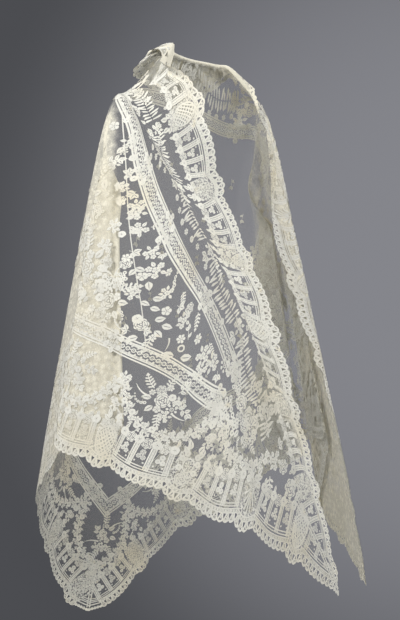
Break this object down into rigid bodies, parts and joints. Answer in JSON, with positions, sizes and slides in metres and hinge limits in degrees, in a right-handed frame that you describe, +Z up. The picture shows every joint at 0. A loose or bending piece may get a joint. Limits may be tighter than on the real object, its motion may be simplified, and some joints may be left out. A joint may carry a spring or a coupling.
{
  "type": "lace shawl",
  "caption": "Triangular net lace shawl with a scalloped flower border, worn open over the shoulders, turned over at the neck and hanging to a point at the back.",
  "frame": {"origin": "the nape, in the middle of the long edge, where the wearer's neck and shoulders hold the shawl", "axes": "+Z up, -Y to the wearer's front, +X to the side of the far shoulder in the picture"},
  "size_m": [0.7762, 0.9163, 1.3681],
  "materials": {
    "net": "matte machine net",
    "border": "matte cotton lace"
  },
  "bodies": {
    "root": {"net_near_front": "net", "net_near_side": "net", "net_back": "net", "net_far_side": "net", "net_far_front": "net", "border_near_front_front_edge": "border", "border_near_front_near_edge": "border", "border_near_side_near_edge": "border", "border_back_near_edge": "border", "border_back_front_edge": "border", "border_back_far_edge": "border", "border_far_side_far_edge": "border", "border_far_front_far_edge": "border", "border_far_front_front_edge": "border"}
  },
  "joints": []
}
